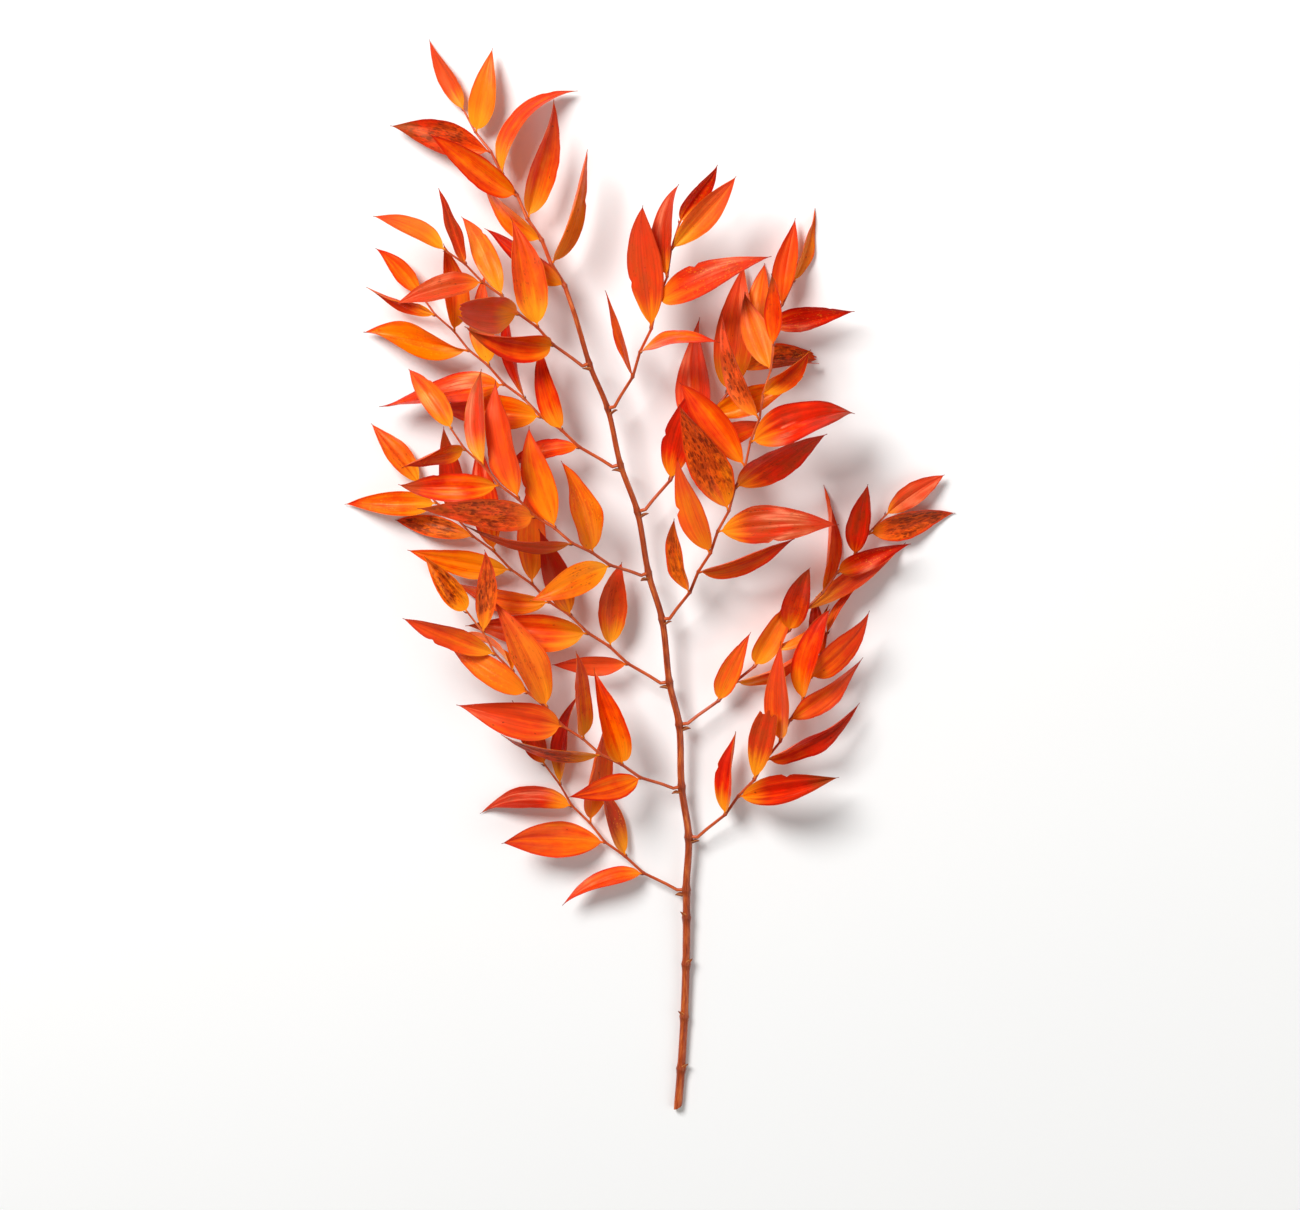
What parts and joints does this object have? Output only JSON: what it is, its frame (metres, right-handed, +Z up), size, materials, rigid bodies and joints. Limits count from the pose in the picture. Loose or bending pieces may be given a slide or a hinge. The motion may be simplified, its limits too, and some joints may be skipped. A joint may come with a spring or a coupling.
{
  "type": "dried ruscus stem",
  "caption": "Cut, preserved and dyed ruscus stem lying on its side: a thin woody cane with leafy side sprays, alternate pointed leaves on zigzag twigs, and a leafy tip.",
  "frame": {"origin": "on the surface that the stem lies on, under the middle of its outline", "axes": "+Y along the stem from its cut end to its tip, +X to the right seen from above with the tip away, +Z up from the surface"},
  "size_m": [0.4102, 0.7356, 0.1054],
  "materials": {
    "bark": "matt, finely furrowed, dyed orange-brown",
    "leaf": "satin, leathery, dyed orange to red"
  },
  "bodies": {
    "root": {"main_stem": "bark", "spray_01": "leaf", "spray_02": "leaf", "spray_03": "leaf", "spray_04": "leaf", "spray_05": "leaf", "spray_06": "leaf", "spray_07": "leaf", "spray_08": "leaf", "spray_09": "leaf", "spray_10": "leaf", "spray_11": "leaf", "tip_spray": "leaf"}
  },
  "joints": []
}
